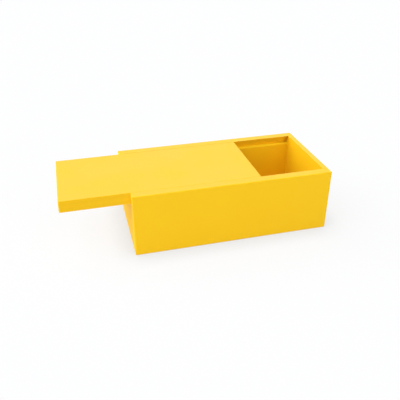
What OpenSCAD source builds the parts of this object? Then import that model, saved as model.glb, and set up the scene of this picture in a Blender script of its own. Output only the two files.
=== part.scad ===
// Sliding lid box made of lacquered boards.
// The lid runs in undercut grooves along the two long walls and draws out
// over the low end wall. The other end wall is full height and stops it.
// X runs along the box, the lid draws out towards -X, and Z is up.
// The origin is the middle of the underside.

/* [Box] */
// Length of the box over its two ends
box_l = 210; // [140:1:400]
// Width of the box over its long walls
box_w = 110; // [80:1:240]
// Height of the box from its underside to its rims
box_h = 68; // [45:1:160]
// Thickness of the long walls
wall_t = 9.5; // [8:0.5:18]
// Thickness of the two end walls
end_t = 6; // [4.5:0.5:15]
// Radius of the eased outer edges
edge_r = 0.8; // [0.3:0.1:2]

/* [Floor] */
// Thickness of the floor panel
floor_t = 5; // [3:0.5:12]
// How far the floor panel is let in under each wall
floor_let_in = 3; // [1.5:0.25:4]
// Glue gap round the edge of the floor panel
floor_gap = 0.1; // [0.05:0.05:0.4]

/* [Lid and grooves] */
// Thickness of the lid
lid_t = 9.5; // [6:0.5:18]
// How far the grooves are undercut behind the rims at the lid's lower face
undercut = 5; // [1:0.25:6]
// Running gap between the lid's bevelled sides and the grooves
side_gap = 0.25; // [0.15:0.05:0.6]
// Running gap between the lid and the ledges under it
seat_gap = 0.15; // [0.1:0.05:0.5]
// Gap left between the closed lid and the stop end wall
stop_gap = 0.3; // [0.2:0.1:1]
// How far the lid stands drawn out
lid_draw = 68.5; // [0:0.5:130]

/* [Corner brads] */
// Brads in each corner joint
brads_per_corner = 3; // [2:1:4]
// Diameter of a brad's shank
brad_d = 1.2; // [0.9:0.1:1.8]
// Length of a brad over its head and point
brad_l = 25; // [18:1:35]
// Diameter of a brad's head
brad_head_d = 2; // [1.9:0.1:3]
// Thickness of a brad's head
brad_head_t = 0.8; // [0.5:0.1:1.5]
// Length of a brad's point
brad_point_l = 1.6; // [1:0.1:3]
// Depth of the brad heads below the outer face of the wall
brad_set = 1.5; // [0.5:0.25:3]
// Height of the outermost brads from the floor panel and from the ledges
brad_margin = 9; // [4:0.5:12]
// Gap between a brad and the wood round it
brad_gap = 0.02; // [0.01:0.01:0.05]

/* [Hidden] */

// Colours
lacquer = [0.98, 0.8, 0.2];
steel = [0.72, 0.73, 0.75];

// Smoothness of round pieces
$fn = 48;
// A brad's point is blunt, this wide
brad_tip_d = 0.3;

// Space between the walls
inner_l = box_l - 2 * end_t;
inner_w = box_w - 2 * wall_t;
// Height of the ledges that carry the lid
ledge_z = box_h - lid_t - seat_gap;
// Half width between the walls and their rims, and between the grooves at the ledges
inner_y = inner_w / 2;
groove_y = inner_y + undercut * (box_h - ledge_z) / lid_t;
// The lid reaches from the mouth end of the box to the stop end wall
lid_l = box_l - end_t - stop_gap;
// Half width of the lid's top and lower faces
lid_top_y = inner_y - side_gap;
lid_low_y = lid_top_y + undercut;
// Heights of the brads, spread evenly between the floor and the ledges
brad_low_z = floor_t + brad_margin;
brad_high_z = ledge_z - brad_margin;
brad_step = (brad_high_z - brad_low_z) / (brads_per_corner - 1);

// Extrudes an outline drawn in Y and Z from x = from to x = to
module along_x(from, to) {
    translate([from, 0, 0]) rotate([90, 0, 90]) linear_extrude(to - from) children();
}

// Rectangle of x by y round the origin with its corners rounded to radius r
module rounded_rectangle(x, y, r) {
    square([x - 2 * r, y], center = true);
    square([x, y - 2 * r], center = true);
    for (sx = [-1, 1], sy = [-1, 1])
        translate([sx * (x / 2 - r), sy * (y / 2 - r)]) circle(r);
}

// The outside of the closed box, with its edges eased
module eased_outside() {
    middle_z = box_h / 2;
    intersection() {
        linear_extrude(box_h) rounded_rectangle(box_l, box_w, edge_r);
        translate([-box_l / 2, 0, middle_z]) rotate([90, 0, 90])
            linear_extrude(box_l) rounded_rectangle(box_w, box_h, edge_r);
        translate([0, box_w / 2, middle_z]) rotate([90, 0, 0])
            linear_extrude(box_w) rounded_rectangle(box_l, box_h, edge_r);
    }
}

// The floor panel, or with a gap the recess that it is let into
module floor_block(gap) {
    l = inner_l + 2 * floor_let_in - 2 * floor_gap + 2 * gap;
    w = inner_w + 2 * floor_let_in - 2 * floor_gap + 2 * gap;
    translate([-l / 2, -w / 2, 0]) cube([l, w, floor_t]);
}

// One brad along Z, its head's top at the origin, or with a gap its hole
module brad(gap) {
    shank_l = brad_l - brad_head_t - brad_point_l;
    translate([0, 0, -brad_head_t - gap])
        cylinder(h = brad_head_t + gap, d = brad_head_d + 2 * gap);
    translate([0, 0, -brad_head_t - shank_l])
        cylinder(h = shank_l, d = brad_d + 2 * gap);
    translate([0, 0, -brad_l - gap])
        cylinder(h = brad_point_l + gap, d1 = brad_tip_d + 2 * gap, d2 = brad_d + 2 * gap);
}

// All the brads, driven through the long walls into the end walls
module all_brads(gap) {
    for (sx = [-1, 1], sy = [-1, 1], i = [0 : brads_per_corner - 1])
        translate([
            sx * (box_l - end_t) / 2,
            sy * (box_w / 2 - brad_set),
            brad_low_z + i * brad_step,
        ])
            rotate([-90 * sy, 0, 0]) brad(gap);
}

// A board of the box with its outer edges eased, the floor's recess and the brad holes cut
module fitted_board() {
    difference() {
        intersection() {
            children();
            eased_outside();
        }
        floor_block(floor_gap);
        all_brads(brad_gap);
    }
}

// Section of the long wall on the +Y side: the rim overhangs the groove and the ledge
module long_wall_section() {
    polygon([
        [box_w / 2, 0],
        [box_w / 2, box_h],
        [inner_y, box_h],
        [groove_y, ledge_z],
        [inner_y, ledge_z],
        [inner_y, 0],
    ]);
}

// Section of the stop end wall, which fills the grooves above the ledges
module stop_wall_section() {
    polygon([
        [-inner_y, 0],
        [inner_y, 0],
        [inner_y, ledge_z],
        [groove_y, ledge_z],
        [inner_y, box_h],
        [-inner_y, box_h],
        [-groove_y, ledge_z],
        [-inner_y, ledge_z],
    ]);
}

// Section of the lid, wider at its lower face so that the rims hold it down
module lid_section() {
    polygon([
        [-lid_low_y, box_h - lid_t],
        [lid_low_y, box_h - lid_t],
        [lid_top_y, box_h],
        [-lid_top_y, box_h],
    ]);
}

module front_wall() {
    color(lacquer) fitted_board() along_x(-box_l / 2, box_l / 2) mirror([1, 0]) long_wall_section();
}

module back_wall() {
    color(lacquer) fitted_board() along_x(-box_l / 2, box_l / 2) long_wall_section();
}

module mouth_end_wall() {
    color(lacquer) fitted_board()
        translate([-box_l / 2, -inner_y, 0]) cube([end_t, inner_w, ledge_z]);
}

module stop_end_wall() {
    color(lacquer) fitted_board() along_x(box_l / 2 - end_t, box_l / 2) stop_wall_section();
}

module floor_panel() {
    color(lacquer) floor_block(0);
}

// The lid drawn out of the box, with the edges of its two ends eased
module sliding_lid() {
    color(lacquer) translate([-lid_draw, 0, 0]) intersection() {
        along_x(-box_l / 2, -box_l / 2 + lid_l) lid_section();
        translate([-box_l / 2 + lid_l / 2, lid_low_y, box_h - lid_t / 2]) rotate([90, 0, 0])
            linear_extrude(2 * lid_low_y) rounded_rectangle(lid_l, lid_t, edge_r);
    }
}

module corner_brads() {
    color(steel) all_brads(0);
}

front_wall();
back_wall();
mouth_end_wall();
stop_end_wall();
floor_panel();
sliding_lid();
corner_brads();
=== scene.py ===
"""Sliding lid box in yellow lacquer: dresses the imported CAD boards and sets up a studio."""
import math

import bmesh
import bpy
from bpy.props import FloatProperty, FloatVectorProperty, PointerProperty
from mathutils import Matrix, Vector


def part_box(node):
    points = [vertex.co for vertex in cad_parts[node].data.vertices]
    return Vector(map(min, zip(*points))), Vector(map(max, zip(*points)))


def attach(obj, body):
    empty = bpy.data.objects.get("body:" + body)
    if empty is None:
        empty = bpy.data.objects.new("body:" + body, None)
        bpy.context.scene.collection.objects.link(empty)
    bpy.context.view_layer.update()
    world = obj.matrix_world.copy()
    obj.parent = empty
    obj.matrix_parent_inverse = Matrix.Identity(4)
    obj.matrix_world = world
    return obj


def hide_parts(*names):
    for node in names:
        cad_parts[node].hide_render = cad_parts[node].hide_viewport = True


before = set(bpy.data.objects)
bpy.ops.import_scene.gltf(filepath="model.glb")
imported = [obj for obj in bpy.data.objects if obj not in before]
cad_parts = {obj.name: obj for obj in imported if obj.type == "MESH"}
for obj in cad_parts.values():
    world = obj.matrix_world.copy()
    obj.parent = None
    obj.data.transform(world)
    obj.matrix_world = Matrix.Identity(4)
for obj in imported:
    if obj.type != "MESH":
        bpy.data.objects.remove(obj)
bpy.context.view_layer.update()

bl_info = {
    "name": "Sliding Lid Box",
    "version": (1, 0, 0),
    "blender": (4, 5, 0),
    "location": "View3D > Sidebar > Lid Box",
    "description": "Builds the boards of a lacquered box with a sliding lid, and a studio round it",
    "category": "Object",
}

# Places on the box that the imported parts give, in metres.
# The box is the same on both sides of its long middle, so widths are kept as half widths.
HALF_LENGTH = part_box("back_wall")[1].x
HALF_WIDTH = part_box("back_wall")[1].y
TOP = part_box("back_wall")[1].z
INNER_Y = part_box("back_wall")[0].y
LEDGE_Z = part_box("mouth_end_wall")[1].z
MOUTH_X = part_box("mouth_end_wall")[1].x
STOP_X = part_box("stop_end_wall")[0].x
GROOVE_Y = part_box("stop_end_wall")[1].y
FLOOR_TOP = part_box("floor_panel")[1].z
LID_LOW, LID_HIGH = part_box("sliding_lid")

# Two places count as the same when they are closer than this.
CLOSE = 1e-6

# A face looks straight along an axis when its normal has at least this much of it.
STRAIGHT = 0.99

# The axes, by their number in a vector
X, Y, Z = range(3)

# The colour sockets of a mix node, which share their names with its other sockets
MIX_FACTOR, MIX_FIRST, MIX_SECOND = 0, 6, 7
MIXED = 2

WHITE = (1.0, 1.0, 1.0, 1.0)

# The finishes of a board, in the order of its material slots
(
    LACQUER, TOP_SHEEN, SAWN_EDGE, LIT_GROOVE,
    SHADED_BEVEL, LIT_LEDGE, SCUFFED_BASE, WORN_ARRIS,
) = range(8)


class BoardSizes(bpy.types.PropertyGroup):
    """Sizes of the boards that a maker would change."""

    floor_gap: FloatProperty(
        name="Floor gap",
        description="Gap round the floor panel in the recess that it is let into",
        default=0.0001, min=0.00005, max=0.0004, precision=5, unit="LENGTH",
    )
    edge_radius: FloatProperty(
        name="Edge radius",
        description="Radius of the box's eased outer edges and of the lid's ends",
        default=0.0008, min=0.0003, max=0.002, precision=4, unit="LENGTH",
    )
    ledge_radius: FloatProperty(
        name="Ledge radius",
        description="Radius of the edges that the lid runs over, and of the floor panel's lower edges",
        default=0.0004, min=0.0001, max=0.001, precision=4, unit="LENGTH",
    )
    rim_radius: FloatProperty(
        name="Rim radius",
        description="Radius of the edges along the seam between the lid and the rims",
        default=0.00015, min=0.0001, max=0.001, precision=5, unit="LENGTH",
    )
    joint_radius: FloatProperty(
        name="Joint radius",
        description="Radius of the edges where two boards are glued together",
        default=0.00012, min=0.00005, max=0.0005, precision=5, unit="LENGTH",
    )


class BoxFinish(bpy.types.PropertyGroup):
    """Colours and gloss of the finishes."""

    lacquer_colour: FloatVectorProperty(
        name="Lacquer colour",
        description="Colour of the satin lacquer",
        default=(0.92, 0.56, 0.008), size=3, min=0.0, max=1.0, subtype="COLOR",
    )
    deep_colour: FloatVectorProperty(
        name="Deep lacquer colour",
        description="Colour of the lacquer where the coat is thicker",
        default=(0.90, 0.535, 0.006), size=3, min=0.0, max=1.0, subtype="COLOR",
    )
    # The top sheen colour is painted light: a paler, whiter lacquer that stands in for the sheen on
    # the up-facing top.
    top_sheen_colour: FloatVectorProperty(
        name="Faded lacquer colour",
        description="Colour of the lacquer on the top, which daylight has faded",
        default=(0.92, 0.56, 0.068), size=3, min=0.0, max=1.0, subtype="COLOR",
    )
    # The sawn highlight colour is painted light: the sawn ends are painted paler than the lacquer, for
    # the light that falls on them.
    sawn_highlight_colour: FloatVectorProperty(
        name="Sawn edge colour",
        description="Colour of the lacquer on sawn edges, which soak it up and stay pale",
        default=(0.95, 0.66, 0.020), size=3, min=0.0, max=1.0, subtype="COLOR",
    )
    # The bevel shade colour is painted shade: the lid's bevels, which face up, are painted darker so
    # that they look as shaded as an upright side.
    bevel_shade_colour: FloatVectorProperty(
        name="Rubbed bevel colour",
        description="Colour of the lacquer on the lid's bevels, which rub along the rims",
        default=(0.77, 0.44, 0.005), size=3, min=0.0, max=1.0, subtype="COLOR",
    )
    # The ledge highlight colour is painted light: the ledges are painted pale so that they read as
    # bright, lit lines in the groove.
    ledge_highlight_colour: FloatVectorProperty(
        name="Polished ledge colour",
        description="Colour of the lacquer on the ledges, where the lid has polished it pale",
        default=(0.98, 0.75, 0.016), size=3, min=0.0, max=1.0, subtype="COLOR",
    )
    # The thin and lit colour is worn, thin lacquer on the arrises and the base, and painted light
    # where it makes the grooves and the sawn ends paler.
    thin_and_lit_colour: FloatVectorProperty(
        name="Thin lacquer colour",
        description="Colour of the lacquer where it is worn or rubbed thin",
        default=(0.93, 0.60, 0.016), size=3, min=0.0, max=1.0, subtype="COLOR",
    )
    # The groove shade colour and reach are painted shade: a darker lacquer at the closed end of the
    # grooves, where the corner lies in shade.
    groove_shade_colour: FloatVectorProperty(
        name="Groove dust colour",
        description="Colour of the dust and old polish at the closed end of the grooves",
        default=(0.62, 0.33, 0.004), size=3, min=0.0, max=1.0, subtype="COLOR",
    )
    groove_shade_reach: FloatProperty(
        name="Groove dust reach",
        description="How far the dust reaches along the grooves from the stop end wall",
        default=0.006, min=0.001, max=0.05, precision=4, unit="LENGTH",
    )
    gloss_roughness: FloatProperty(
        name="Lacquer roughness",
        description="Roughness of the lacquer, lower is glossier",
        default=0.58, min=0.1, max=0.8, subtype="FACTOR",
    )
    reflection: FloatProperty(
        name="Lacquer reflection",
        description="Strength of the lacquer's reflection, where 0.5 is a plain varnish",
        default=0.15, min=0.0, max=1.0, subtype="FACTOR",
    )
    orange_peel: FloatProperty(
        name="Orange peel",
        description="Depth of the fine ripple that spraying leaves",
        default=0.00002, min=0.0, max=0.0002, precision=6, unit="LENGTH",
    )
    steel_colour: FloatVectorProperty(
        name="Steel colour",
        description="Colour of the brads in the corners",
        default=(0.55, 0.55, 0.57), size=3, min=0.0, max=1.0, subtype="COLOR",
    )


class StudioSetup(bpy.types.PropertyGroup):
    """Floor, light and camera."""

    floor_colour: FloatVectorProperty(
        name="Floor colour",
        description="Colour of the pale floor",
        default=(0.74, 0.76, 0.80), size=3, min=0.0, max=1.0, subtype="COLOR",
    )
    floor_lift: FloatProperty(
        name="Floor lift",
        description="How far the seen floor is lifted to white, which lightens its shadows",
        default=0.84, min=0.0, max=1.0, subtype="FACTOR",
    )
    contact_reach: FloatProperty(
        name="Contact shadow reach",
        description="How far the soft contact shadow reaches from the box over the floor",
        default=0.026, min=0.0, max=1.0, precision=4, unit="LENGTH",
    )
    contact_depth: FloatProperty(
        name="Contact shadow depth",
        description="How much the contact shadow takes off the white of the floor under the box",
        default=0.32, min=0.0, max=1.0, subtype="FACTOR",
    )
    sky_strength: FloatProperty(
        name="Sky strength",
        description="Strength of the even white light from all round",
        default=0.40, min=0.0, max=2.0,
    )
    side_strength: FloatProperty(
        name="Side light strength",
        description="Strength of the wide soft light on the mouth side",
        default=3.22, min=0.0, max=10.0,
    )
    side_spread: FloatProperty(
        name="Side light spread",
        description="How wide the side light looks from the box, wider is softer",
        default=math.radians(85), min=0.0, max=math.pi, subtype="ANGLE",
    )
    side_from: FloatVectorProperty(
        name="Side light from",
        description="Direction from the box to the side light",
        default=(-0.74, 0.19, 0.645), size=3, subtype="DIRECTION",
    )
    front_strength: FloatProperty(
        name="Front light strength",
        description="Strength of the soft light in front of the box",
        default=1.09, min=0.0, max=10.0,
    )
    front_spread: FloatProperty(
        name="Front light spread",
        description="How wide the front light looks from the box, wider is softer",
        default=math.radians(70), min=0.0, max=math.pi, subtype="ANGLE",
    )
    front_from: FloatVectorProperty(
        name="Front light from",
        description="Direction from the box to the front light",
        default=(0.20, -0.78, 0.59), size=3, subtype="DIRECTION",
    )
    lens: FloatProperty(
        name="Lens",
        description="Focal length of the camera on its 36 mm wide sensor",
        default=46.1, min=10.0, max=200.0, subtype="DISTANCE_CAMERA",
    )
    azimuth: FloatProperty(
        name="Azimuth",
        description="Turn of the camera round the box, from straight in front",
        default=math.radians(-14.85), min=-math.pi, max=math.pi, subtype="ANGLE",
    )
    elevation: FloatProperty(
        name="Elevation",
        description="Height of the camera above the level of the floor, as an angle",
        default=math.radians(30.06), min=-math.pi / 2, max=math.pi / 2, subtype="ANGLE",
    )
    distance: FloatProperty(
        name="Distance",
        description="Distance from the camera to the point that it looks at",
        default=0.5911, min=0.1, max=10.0, precision=4, unit="LENGTH",
    )
    aim: FloatVectorProperty(
        name="Aim",
        description="Point that the camera looks at",
        default=(-0.01938, 0.01397, 0.01408), size=3, precision=5, subtype="XYZ_LENGTH",
    )


# Shader nodes

def add_node(tree, kind, values=None, **settings):
    """Add a shader node with these settings and input values."""
    made = tree.nodes.new(kind)
    for setting, value in settings.items():
        setattr(made, setting, value)
    for socket, value in (values or {}).items():
        made.inputs[socket].default_value = value
    return made


def fresh_material(name):
    """Start a material and return it with its tree, its surface and its Object coordinates."""
    material = bpy.data.materials.new(name)
    material.use_nodes = True
    tree = material.node_tree
    surface = tree.nodes["Principled BSDF"]
    place = add_node(tree, "ShaderNodeTexCoord").outputs["Object"]
    return material, tree, surface, place


def grain(tree, place, scale, detail=2.0, stretch=(1.0, 1.0, 1.0)):
    """Noise whose features are about 1 / scale metres across, stretched along an axis."""
    mapping = add_node(tree, "ShaderNodeMapping", {"Scale": stretch})
    tree.links.new(place, mapping.inputs["Vector"])
    noise = add_node(tree, "ShaderNodeTexNoise", {"Scale": scale, "Detail": detail})
    tree.links.new(mapping.outputs["Vector"], noise.inputs["Vector"])
    return noise.outputs[0]


def spread(tree, value, low, high, start=0.3, end=0.7):
    """Map a value between start and end to a value between low and high."""
    ranged = add_node(
        tree, "ShaderNodeMapRange",
        {"From Min": start, "From Max": end, "To Min": low, "To Max": high},
    )
    tree.links.new(value, ranged.inputs["Value"])
    return ranged.outputs["Result"]


def tint(tree, factor, first, second):
    """Mix two colours by a factor. Either one may be a colour or the output of another mix."""
    mix = add_node(tree, "ShaderNodeMix", data_type="RGBA")
    tree.links.new(factor, mix.inputs[MIX_FACTOR])
    for socket, colour in ((MIX_FIRST, first), (MIX_SECOND, second)):
        if isinstance(colour, bpy.types.NodeSocket):
            tree.links.new(colour, mix.inputs[socket])
        else:
            mix.inputs[socket].default_value = (*colour, 1.0)
    return mix.outputs[MIXED]


def ripple(tree, height, depth, under=None):
    """Bump of this depth in metres, on top of another bump where one is given."""
    bump = add_node(tree, "ShaderNodeBump", {"Strength": 1.0, "Distance": depth})
    tree.links.new(height, bump.inputs["Height"])
    if under is not None:
        tree.links.new(under, bump.inputs["Normal"])
    return bump.outputs["Normal"]


# Finishes

# How many features of each pattern come to a metre
CLOUDS = 16
GLOSS_HAZE = 70
PEEL = 650
NIBS = 260
FIBRES = 1400
HIGHLIGHT_PATCHES = 55
STREAKS = 900
SCUFFS = 800
BASE_HAZE = 40
HANDLED_PATCHES = 45
NICKS = 500
DRAWN_LINES = 2500
DULL_SPOTS = 300

# How much of its own colour a dull spot on the steel keeps
DULL_SHARE = 0.7

# Depth of the lines that drawing leaves on the steel, in metres
LINE_DEPTH = 0.00001


def fresh_lacquer(name, finish):
    """Start a lacquer, with the same reflection all over, as fresh_material starts a material."""
    material, tree, surface, place = fresh_material(name)
    surface.inputs["Specular IOR Level"].default_value = finish.reflection
    return material, tree, surface, place


def peel(tree, place, finish):
    """The fine ripple that spraying leaves."""
    return ripple(tree, grain(tree, place, PEEL, detail=1.5), finish.orange_peel)


def uneven_gloss(tree, surface, pattern, finish, glossier=0.0, duller=0.0):
    """Let a pattern take the lacquer from a little glossier to a little duller."""
    rough = finish.gloss_roughness
    varied = spread(tree, pattern, rough - glossier, rough + duller)
    tree.links.new(varied, surface.inputs["Roughness"])


def sprayed(name, finish, first, second):
    """Satin lacquer on a smooth board: a cloudy tone, orange peel and a few nibs where specks settled
    in the wet coat.
    """
    material, tree, surface, place = fresh_lacquer(name, finish)
    coats = spread(tree, grain(tree, place, CLOUDS, detail=3.0), 0.0, 0.4)
    tree.links.new(tint(tree, coats, first, second), surface.inputs["Base Color"])
    haze = grain(tree, place, GLOSS_HAZE, detail=4.0)
    uneven_gloss(tree, surface, haze, finish, glossier=0.04, duller=0.04)
    nibs = spread(tree, grain(tree, place, NIBS, detail=0.0), 0.0, 1.0, start=0.76, end=0.84)
    bumps = ripple(tree, nibs, finish.orange_peel, under=peel(tree, place, finish))
    tree.links.new(bumps, surface.inputs["Normal"])
    return material


def yellow_lacquer(name, finish):
    """Lacquer on the sides of the box, outside and inside."""
    return sprayed(name, finish, finish.lacquer_colour, finish.deep_colour)


def top_sheen(name, finish):
    """Lacquer on the lid's top and the rims, with a painted sheen: a paler, whiter colour for the
    light that the top catches.
    """
    return sprayed(name, finish, finish.top_sheen_colour, finish.lacquer_colour)


def sawn_edge(name, finish):
    """Lacquer on a sawn edge of a board, where the fibres show through the coat, painted paler as a
    painted highlight.
    """
    material, tree, surface, place = fresh_lacquer(name, finish)
    # Patches of painted highlight, paler towards the sawn highlight colour
    brighten = spread(tree, grain(tree, place, HIGHLIGHT_PATCHES, detail=4.0), 0.0, 1.0)
    colour = tint(tree, brighten, finish.thin_and_lit_colour, finish.sawn_highlight_colour)
    tree.links.new(colour, surface.inputs["Base Color"])
    fibres = grain(tree, place, FIBRES, detail=3.0, stretch=(0.5, 1.0, 0.35))
    uneven_gloss(tree, surface, fibres, finish, duller=0.10)
    bumps = ripple(tree, fibres, finish.orange_peel, under=peel(tree, place, finish))
    tree.links.new(bumps, surface.inputs["Normal"])
    return material


# The colours given to rubbed carry painted light on the groove and the ledge, and painted shade on the
# bevel.
def rubbed(name, finish, first, second):
    """Lacquer that the sliding lid has burnished into fine streaks along the box, in the two colours
    that the caller gives.
    """
    material, tree, surface, place = fresh_lacquer(name, finish)
    streaks = grain(tree, place, STREAKS, detail=3.0, stretch=(0.012, 1.0, 1.0))
    tone = spread(tree, streaks, 0.0, 0.4)
    tree.links.new(tint(tree, tone, first, second), surface.inputs["Base Color"])
    uneven_gloss(tree, surface, streaks, finish, glossier=0.04, duller=0.10)
    tree.links.new(ripple(tree, streaks, finish.orange_peel), surface.inputs["Normal"])
    return material


def lit_groove(name, finish):
    """Lacquer on the undercut side of the grooves, painted paler as painted light against their shade,
    with painted shade at the closed end.
    """
    # Painted light: the paler colour lifts the shaded undercut of the groove.
    material = rubbed(name, finish, finish.thin_and_lit_colour, finish.lacquer_colour)
    tree = material.node_tree
    base = tree.nodes["Principled BSDF"].inputs["Base Color"]
    place = add_node(tree, "ShaderNodeTexCoord").outputs["Object"]
    along = add_node(tree, "ShaderNodeSeparateXYZ")
    tree.links.new(place, along.inputs["Vector"])
    # Painted shade: the lacquer darkens over the last few millimetres before the stop end wall, where
    # the groove's corner is in shade.
    shade_start = STOP_X - finish.groove_shade_reach
    shade_full = STOP_X - finish.groove_shade_reach / 4
    shading = spread(tree, along.outputs["X"], 0.0, 1.0, start=shade_start, end=shade_full)
    streaked = base.links[0].from_socket
    tree.links.new(tint(tree, shading, streaked, finish.groove_shade_colour), base)
    return material


def shaded_bevel(name, finish):
    """Lacquer on the lid's bevelled sides, darkened with painted shade as on a side turned away from
    the light.
    """
    return rubbed(name, finish, finish.bevel_shade_colour, finish.deep_colour)


def lit_ledge(name, finish):
    """Lacquer on the ledges that carry the lid, painted pale as a painted highlight so that they read
    as lit lines.
    """
    return rubbed(name, finish, finish.ledge_highlight_colour, finish.thin_and_lit_colour)


def scuffed_base(name, finish):
    """Lacquer on the underside, with short fine scuffs both ways from table tops."""
    material, tree, surface, place = fresh_lacquer(name, finish)
    along = grain(tree, place, SCUFFS, stretch=(0.03, 1.0, 1.0))
    across = grain(tree, place, SCUFFS, stretch=(1.0, 0.03, 1.0))
    lengthwise = spread(tree, along, 0.0, 1.0, start=0.60, end=0.75)
    crosswise = spread(tree, across, 0.0, 1.0, start=0.62, end=0.77)
    once = tint(tree, lengthwise, finish.deep_colour, finish.thin_and_lit_colour)
    twice = tint(tree, crosswise, once, finish.thin_and_lit_colour)
    tree.links.new(twice, surface.inputs["Base Color"])
    haze = grain(tree, place, BASE_HAZE, detail=4.0)
    uneven_gloss(tree, surface, haze, finish, duller=0.12)
    depth = -finish.orange_peel / 2
    scored = ripple(tree, lengthwise, depth, under=peel(tree, place, finish))
    tree.links.new(ripple(tree, crosswise, depth, under=scored), surface.inputs["Normal"])
    return material


def worn_arris(name, finish):
    """Lacquer on the eased edges, handled smooth and a little thin in places."""
    material, tree, surface, place = fresh_lacquer(name, finish)
    patches = grain(tree, place, HANDLED_PATCHES, detail=4.0)
    handled = spread(tree, patches, 0.0, 1.0, start=0.45, end=0.75)
    colour = tint(tree, handled, finish.lacquer_colour, finish.thin_and_lit_colour)
    tree.links.new(colour, surface.inputs["Base Color"])
    rough = finish.gloss_roughness
    smoothed = spread(tree, handled, rough, rough - 0.10, start=0.0, end=1.0)
    tree.links.new(smoothed, surface.inputs["Roughness"])
    nicks = grain(tree, place, NICKS, detail=3.0)
    tree.links.new(ripple(tree, nicks, finish.orange_peel), surface.inputs["Normal"])
    return material


def brad_steel(finish):
    """Drawn steel wire with lines along it and a few dull spots."""
    material, tree, surface, place = fresh_material("drawn_brad_steel")
    patches = grain(tree, place, DULL_SPOTS, detail=3.0)
    spots = spread(tree, patches, 0.0, 1.0, start=0.55, end=0.75)
    dull = [DULL_SHARE * part for part in finish.steel_colour]
    tree.links.new(tint(tree, spots, finish.steel_colour, dull), surface.inputs["Base Color"])
    lines = grain(tree, place, DRAWN_LINES, stretch=(1.0, 0.05, 1.0))
    tree.links.new(spread(tree, lines, 0.25, 0.42), surface.inputs["Roughness"])
    tree.links.new(ripple(tree, lines, LINE_DEPTH), surface.inputs["Normal"])
    surface.inputs["Metallic"].default_value = 1.0
    return material


def board_finishes():
    """The materials of every board, made once and then shared, in the order of the slots."""
    finish = bpy.context.scene.lid_box_finish
    makers = {
        "satin_yellow_lacquer": yellow_lacquer,
        "top_sheen_lacquer": top_sheen,
        "lacquered_sawn_edge": sawn_edge,
        "lit_groove_lacquer": lit_groove,
        "shaded_bevel_lacquer": shaded_bevel,
        "lit_ledge_lacquer": lit_ledge,
        "scuffed_base_lacquer": scuffed_base,
        "worn_arris_lacquer": worn_arris,
    }
    return [bpy.data.materials.get(name) or make(name, finish) for name, make in makers.items()]


# Boards

def section(bm, corners):
    """Add one flat face with these corners."""
    return bm.faces.new([bm.verts.new(corner) for corner in corners])


def push(bm, faces, offset):
    """Extrude faces together by an offset and return the moved faces, the largest first."""
    made = bmesh.ops.extrude_face_region(bm, geom=faces)["geom"]
    moved = [item for item in made if isinstance(item, bmesh.types.BMVert)]
    bmesh.ops.translate(bm, verts=moved, vec=offset)
    ends = [item for item in made if isinstance(item, bmesh.types.BMFace)]
    return sorted(ends, key=lambda face: face.calc_area(), reverse=True)


def merge(bm):
    """Close the seams between joined sections and turn all faces outwards."""
    bmesh.ops.remove_doubles(bm, verts=bm.verts, dist=CLOSE)
    bmesh.ops.recalc_face_normals(bm, faces=bm.faces)


def is_near(value, target):
    """Whether two lengths are the same."""
    return abs(value - target) < CLOSE


def lies_on(edge, axis, place):
    """Whether an edge lies in the plane where this axis has this value."""
    return all(is_near(vert.co[axis], place) for vert in edge.verts)


def outer_sides(edge):
    """How many of the closed box's outer sides an edge lies on."""
    sides = (
        (X, -HALF_LENGTH), (X, HALF_LENGTH),
        (Y, -HALF_WIDTH), (Y, HALF_WIDTH),
        (Z, 0.0), (Z, TOP),
    )
    return sum(lies_on(edge, axis, place) for axis, place in sides)


def face_finish(face):
    """The finish of a flat face: scuffed under the box, a painted sheen on its top, and otherwise
    plain.
    """
    if all(is_near(vert.co.z, 0.0) for vert in face.verts):
        return SCUFFED_BASE
    on_top = all(is_near(vert.co.z, TOP) for vert in face.verts)
    return TOP_SHEEN if on_top else LACQUER


def finish_board(bm, name, node, body, edge_radius, finish_of=face_finish):
    """Turn a bmesh into a piece with eased edges that stands for a CAD node."""
    sizes = bpy.context.scene.lid_box_sizes
    widest = max(sizes.edge_radius, sizes.ledge_radius, sizes.rim_radius, sizes.joint_radius)
    weight = bm.edges.layers.float.new("bevel_weight_edge")
    for edge in bm.edges:
        radius = edge_radius(edge)
        edge[weight] = radius / widest
        edge.smooth = radius > 0.0
    for face in bm.faces:
        face.material_index = finish_of(face)
        face.smooth = True
    mesh = bpy.data.meshes.new(name)
    bm.to_mesh(mesh)
    bm.free()
    for material in board_finishes():
        mesh.materials.append(material)
    piece = bpy.data.objects.new(name, mesh)
    bpy.context.scene.collection.objects.link(piece)
    eased = piece.modifiers.new("eased edges", "BEVEL")
    eased.limit_method = "WEIGHT"
    eased.width = widest
    eased.segments = 4
    eased.profile = 0.5
    eased.material = WORN_ARRIS
    eased.harden_normals = True
    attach(piece, body)
    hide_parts(node)
    return piece


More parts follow.
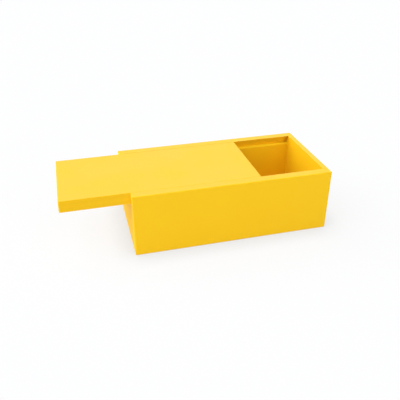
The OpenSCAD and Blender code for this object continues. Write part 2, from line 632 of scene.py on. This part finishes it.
class LIDBOX_OT_long_walls(bpy.types.Operator):
    """Build the front and back walls, with the rim, the lid's groove and the ledge under it"""

    bl_idname = "lidbox.long_walls"
    bl_label = "Long Walls"

    def execute(self, context):
        sizes = context.scene.lid_box_sizes
        walls = (
            (-1, "front_wall_board", "front_wall"),
            (1, "back_wall_board", "back_wall"),
        )
        for side, name, node in walls:
            bm = self.wall(sizes, side)
            finish_board(bm, name, node, "box", self.edge_radius, self.finish_of)
        return {"FINISHED"}

    def wall(self, sizes, side):
        """One half of the wall is drawn from its end to the middle, and then mirrored."""
        recess_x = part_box("floor_panel")[1].x + sizes.floor_gap
        recess_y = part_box("floor_panel")[1].y + sizes.floor_gap
        body = [
            (HALF_WIDTH, 0.0), (HALF_WIDTH, TOP), (INNER_Y, TOP), (GROOVE_Y, LEDGE_Z),
            (INNER_Y, LEDGE_Z), (INNER_Y, FLOOR_TOP), (recess_y, FLOOR_TOP), (recess_y, 0.0),
        ]
        foot = [(INNER_Y, FLOOR_TOP), (INNER_Y, 0.0), (recess_y, 0.0), (recess_y, FLOOR_TOP)]
        bm = bmesh.new()
        faces = [
            section(bm, [(-HALF_LENGTH, side * y, z) for y, z in corners])
            for corners in (body, foot)
        ]
        bmesh.ops.remove_doubles(bm, verts=bm.verts, dist=CLOSE)
        body_end = push(bm, faces, (HALF_LENGTH - recess_x, 0, 0))[0]
        middle = push(bm, [body_end], (recess_x, 0, 0))
        bmesh.ops.delete(bm, geom=[body_end, *middle], context="FACES_ONLY")
        inner_lines = [edge for edge in bm.edges if self.splits_end(edge)]
        bmesh.ops.dissolve_edges(bm, edges=inner_lines, use_verts=False)
        half = bm.verts[:] + bm.edges[:] + bm.faces[:]
        bmesh.ops.mirror(bm, geom=half, axis="X", merge_dist=CLOSE)
        merge(bm)
        return bm

    def splits_end(self, edge):
        """Whether an edge only divides the flat end of the wall."""
        flat = all(abs(face.normal.x) > STRAIGHT for face in edge.link_faces)
        return flat and lies_on(edge, X, -HALF_LENGTH) and len(edge.link_faces) == 2

    def edge_radius(self, edge):
        """How far an edge is eased."""
        sizes = bpy.context.scene.lid_box_sizes
        sides = outer_sides(edge)
        if sides >= 2:
            return sizes.edge_radius
        if sides == 1:
            return sizes.rim_radius if lies_on(edge, Z, TOP) else sizes.joint_radius
        at_ledge = lies_on(edge, Z, LEDGE_Z) and is_near(abs(edge.verts[0].co.y), INNER_Y)
        return sizes.ledge_radius if at_ledge else 0.0

    def finish_of(self, face):
        """Sawn ends painted as a highlight, the groove painted paler with painted shade at its end,
        the ledge painted as a highlight, else as any face.
        """
        centre = face.calc_center_median()
        if abs(centre.x) > HALF_LENGTH - CLOSE:
            return SAWN_EDGE
        above_ledge = LEDGE_Z - CLOSE < centre.z < TOP - CLOSE
        if above_ledge and abs(centre.y) < HALF_WIDTH - CLOSE:
            return LIT_LEDGE if is_near(centre.z, LEDGE_Z) else LIT_GROOVE
        return face_finish(face)


class LIDBOX_OT_end_walls(bpy.types.Operator):
    """Build the low end wall that the lid passes over and the full end wall that stops it"""

    bl_idname = "lidbox.end_walls"
    bl_label = "End Walls"

    def execute(self, context):
        sizes = context.scene.lid_box_sizes
        low = [(INNER_Y, LEDGE_Z)]
        full = [(INNER_Y, LEDGE_Z), (GROOVE_Y, LEDGE_Z), (INNER_Y, TOP)]
        mouth = self.wall(sizes, low, -HALF_LENGTH, MOUTH_X)
        finish_board(mouth, "mouth_end_board", "mouth_end_wall", "box", self.edge_radius)
        stop = self.wall(sizes, full, HALF_LENGTH, STOP_X)
        finish_board(stop, "stop_end_board", "stop_end_wall", "box", self.edge_radius)
        return {"FINISHED"}

    def wall(self, sizes, shoulder, outer_x, inner_x):
        """The wall is pushed in from its outer face, first whole and then above the floor."""
        recess_x = math.copysign(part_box("floor_panel")[1].x + sizes.floor_gap, outer_x)
        right = [(INNER_Y, FLOOR_TOP), *shoulder]
        left = [(-y, z) for y, z in reversed(right)]
        upper = right + left
        lower = [(-INNER_Y, 0.0), (INNER_Y, 0.0), (INNER_Y, FLOOR_TOP), (-INNER_Y, FLOOR_TOP)]
        bm = bmesh.new()
        faces = [section(bm, [(outer_x, y, z) for y, z in corners]) for corners in (upper, lower)]
        bmesh.ops.remove_doubles(bm, verts=bm.verts, dist=CLOSE)
        shared = [edge for edge in bm.edges if len(edge.link_faces) == 2]
        upper_end = push(bm, faces, (recess_x - outer_x, 0, 0))[0]
        push(bm, [upper_end], (inner_x - recess_x, 0, 0))
        bmesh.ops.delete(bm, geom=[upper_end], context="FACES_ONLY")
        bmesh.ops.dissolve_edges(bm, edges=shared, use_verts=False)
        merge(bm)
        return bm

    def edge_radius(self, edge):
        """How far an edge is eased."""
        sizes = bpy.context.scene.lid_box_sizes
        sides = outer_sides(edge)
        runs_across = abs(edge.verts[0].co.y - edge.verts[1].co.y) > INNER_Y
        if runs_across and lies_on(edge, Z, LEDGE_Z):
            return sizes.ledge_radius
        if sides >= 2:
            return sizes.edge_radius
        if runs_across and lies_on(edge, Z, TOP):
            return sizes.rim_radius
        return sizes.joint_radius if sides == 1 else 0.0


class LIDBOX_OT_floor_panel(bpy.types.Operator):
    """Build the floor panel that is let in flush under the walls"""

    bl_idname = "lidbox.floor_panel"
    bl_label = "Floor Panel"

    def execute(self, context):
        low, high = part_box("floor_panel")
        bm = bmesh.new()
        corners = ((low.x, low.y), (high.x, low.y), (high.x, high.y), (low.x, high.y))
        sheet = section(bm, [(x, y, low.z) for x, y in corners])
        push(bm, [sheet], (0, 0, high.z - low.z))
        merge(bm)
        finish_board(bm, "floor_board", "floor_panel", "box", self.edge_radius)
        return {"FINISHED"}

    def edge_radius(self, edge):
        """How far an edge is eased."""
        sizes = bpy.context.scene.lid_box_sizes
        return sizes.ledge_radius if lies_on(edge, Z, 0.0) else sizes.joint_radius


class LIDBOX_OT_sliding_lid(bpy.types.Operator):
    """Build the lid, whose sides are bevelled to run under the rims"""

    bl_idname = "lidbox.sliding_lid"
    bl_label = "Sliding Lid"

    def execute(self, context):
        slope = (GROOVE_Y - INNER_Y) / (TOP - LEDGE_Z)
        top_y = LID_HIGH.y - slope * (LID_HIGH.z - LID_LOW.z)
        corners = (
            (-LID_HIGH.y, LID_LOW.z), (LID_HIGH.y, LID_LOW.z),
            (top_y, LID_HIGH.z), (-top_y, LID_HIGH.z),
        )
        bm = bmesh.new()
        end = section(bm, [(LID_LOW.x, y, z) for y, z in corners])
        push(bm, [end], (LID_HIGH.x - LID_LOW.x, 0, 0))
        merge(bm)
        finish_board(bm, "lid_board", "sliding_lid", "lid", self.edge_radius, self.finish_of)
        return {"FINISHED"}

    def edge_radius(self, edge):
        """How far an edge is eased."""
        sizes = bpy.context.scene.lid_box_sizes
        runs_along = abs(edge.verts[0].co.x - edge.verts[1].co.x) > CLOSE
        if not runs_along:
            return sizes.edge_radius
        return sizes.rim_radius if lies_on(edge, Z, LID_HIGH.z) else sizes.ledge_radius

    def finish_of(self, face):
        """Sawn ends painted as a highlight, bevelled sides painted dark as painted shade, and
        otherwise as any face.
        """
        face.normal_update()
        if abs(face.normal.x) > STRAIGHT:
            return SAWN_EDGE
        on_side = abs(face.normal.y) > abs(face.normal.z)
        return SHADED_BEVEL if on_side else face_finish(face)


class LIDBOX_OT_corner_brads(bpy.types.Operator):
    """Give the brads in the corner joints their drawn steel"""

    bl_idname = "lidbox.corner_brads"
    bl_label = "Corner Brads"

    def execute(self, context):
        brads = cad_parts["corner_brads"]
        brads.data.materials.clear()
        brads.data.materials.append(brad_steel(context.scene.lid_box_finish))
        return {"FINISHED"}


# Studio

# Half the side of the studio floor, and how far it lies under the box so that the two don't mix
FLOOR_REACH = 6.0
FLOOR_DROP = 0.0001


def seen_directly(tree):
    """A factor that is 1 for rays to the camera and for what gloss and glass show."""
    path = add_node(tree, "ShaderNodeLightPath")
    seen = path.outputs["Is Camera Ray"]
    for name in ("Is Glossy Ray", "Is Transmission Ray"):
        either = add_node(tree, "ShaderNodeMath", operation="MAXIMUM")
        tree.links.new(seen, either.inputs[0])
        tree.links.new(path.outputs[name], either.inputs[1])
        seen = either.outputs[0]
    return seen


def pale_floor(studio):
    """Matt floor that is lifted towards white where it is seen, and keeps a light shadow."""
    material = bpy.data.materials.new("pale_floor")
    material.use_nodes = True
    tree = material.node_tree
    tree.nodes.clear()
    matt = add_node(tree, "ShaderNodeBsdfDiffuse", {"Color": (*studio.floor_colour, 1.0)})
    white = add_node(tree, "ShaderNodeEmission", {"Color": WHITE})
    reach = {"Distance": studio.contact_reach}
    openness = add_node(tree, "ShaderNodeAmbientOcclusion", reach, samples=16).outputs["AO"]
    shade = spread(tree, openness, 1.0 - studio.contact_depth, 1.0, start=0.0, end=1.0)
    tree.links.new(shade, white.inputs["Strength"])
    lift = add_node(tree, "ShaderNodeMath", {1: studio.floor_lift}, operation="MULTIPLY")
    tree.links.new(seen_directly(tree), lift.inputs[0])
    both = add_node(tree, "ShaderNodeMixShader")
    tree.links.new(lift.outputs[0], both.inputs[0])
    tree.links.new(matt.outputs[0], both.inputs[1])
    tree.links.new(white.outputs[0], both.inputs[2])
    output = add_node(tree, "ShaderNodeOutputMaterial")
    tree.links.new(both.outputs[0], output.inputs["Surface"])
    return material


def white_room(studio):
    """World of even white light, which shows as plain white where it is seen."""
    world = bpy.data.worlds.new("white_room")
    world.use_nodes = True
    tree = world.node_tree
    tree.nodes.clear()
    sky = {"Color": WHITE, "Strength": studio.sky_strength}
    light = add_node(tree, "ShaderNodeBackground", sky)
    white = add_node(tree, "ShaderNodeBackground", {"Color": WHITE, "Strength": 1.0})
    both = add_node(tree, "ShaderNodeMixShader")
    tree.links.new(seen_directly(tree), both.inputs[0])
    tree.links.new(light.outputs[0], both.inputs[1])
    tree.links.new(white.outputs[0], both.inputs[2])
    output = add_node(tree, "ShaderNodeOutputWorld")
    tree.links.new(both.outputs[0], output.inputs["Surface"])
    return world


class LIDBOX_OT_studio(bpy.types.Operator):
    """Set up the pale floor, the soft light and the camera"""

    bl_idname = "lidbox.studio"
    bl_label = "Studio"

    def execute(self, context):
        scene = context.scene
        studio = scene.lid_box_studio
        self.floor(scene, studio)
        lights = (
            ("side_light", studio.side_strength, studio.side_spread, studio.side_from),
            ("front_light", studio.front_strength, studio.front_spread, studio.front_from),
        )
        for light in lights:
            self.soft_light(scene, *light)
        self.camera(scene, studio)
        scene.world = white_room(studio)
        scene.view_settings.view_transform = "Standard"
        return {"FINISHED"}

    def floor(self, scene, studio):
        """A wide flat sheet just under the box."""
        bm = bmesh.new()
        bmesh.ops.create_grid(bm, x_segments=1, y_segments=1, size=FLOOR_REACH)
        bmesh.ops.translate(bm, verts=bm.verts, vec=(0, 0, -FLOOR_DROP))
        mesh = bpy.data.meshes.new("studio_floor")
        bm.to_mesh(mesh)
        bm.free()
        mesh.materials.append(pale_floor(studio))
        floor = bpy.data.objects.new("studio_floor", mesh)
        scene.collection.objects.link(floor)

    def soft_light(self, scene, name, strength, angle, from_where):
        """A far light, this wide, that shines from this direction onto the box."""
        data = bpy.data.lights.new(name, "SUN")
        data.energy = strength
        data.angle = angle
        light = bpy.data.objects.new(name, data)
        scene.collection.objects.link(light)
        light.location = Vector(from_where)
        light.rotation_euler = Vector(from_where).to_track_quat("Z", "Y").to_euler()

    def camera(self, scene, studio):
        """The camera of the photo, turned round the box and tipped down to look at its aim."""
        data = bpy.data.cameras.new("photo_camera")
        data.lens = studio.lens
        data.clip_start = 0.01
        camera = bpy.data.objects.new("photo_camera", data)
        scene.collection.objects.link(camera)
        turn = Matrix.Rotation(studio.azimuth, 3, "Z")
        tip = Matrix.Rotation(math.pi / 2 - studio.elevation, 3, "X")
        aimed = turn @ tip
        back = aimed @ Vector((0, 0, 1))
        place = Vector(studio.aim) + studio.distance * back
        camera.matrix_world = Matrix.LocRotScale(place, aimed, None)
        scene.camera = camera


OPERATORS = (
    LIDBOX_OT_long_walls,
    LIDBOX_OT_end_walls,
    LIDBOX_OT_floor_panel,
    LIDBOX_OT_sliding_lid,
    LIDBOX_OT_corner_brads,
    LIDBOX_OT_studio,
)


class LIDBOX_PT_panel(bpy.types.Panel):
    """Lists the pieces of the box and their settings"""

    bl_idname = "LIDBOX_PT_panel"
    bl_label = "Sliding Lid Box"
    bl_space_type = "VIEW_3D"
    bl_region_type = "UI"
    bl_category = "Lid Box"

    def draw(self, context):
        for operator in OPERATORS:
            self.layout.operator(operator.bl_idname)
        for settings in ("lid_box_sizes", "lid_box_finish", "lid_box_studio"):
            group = getattr(context.scene, settings)
            column = self.layout.box().column()
            for prop in group.__annotations__:
                column.prop(group, prop)


CLASSES = (BoardSizes, BoxFinish, StudioSetup, *OPERATORS, LIDBOX_PT_panel)


def register():
    for cls in CLASSES:
        bpy.utils.register_class(cls)
    bpy.types.Scene.lid_box_sizes = PointerProperty(type=BoardSizes)
    bpy.types.Scene.lid_box_finish = PointerProperty(type=BoxFinish)
    bpy.types.Scene.lid_box_studio = PointerProperty(type=StudioSetup)


def unregister():
    del bpy.types.Scene.lid_box_studio
    del bpy.types.Scene.lid_box_finish
    del bpy.types.Scene.lid_box_sizes
    for cls in reversed(CLASSES):
        bpy.utils.unregister_class(cls)


def main():
    register()
    bpy.ops.lidbox.long_walls()
    bpy.ops.lidbox.end_walls()
    bpy.ops.lidbox.floor_panel()
    bpy.ops.lidbox.sliding_lid()
    bpy.ops.lidbox.corner_brads()
    bpy.ops.lidbox.studio()


if __name__ == "__main__":
    main()
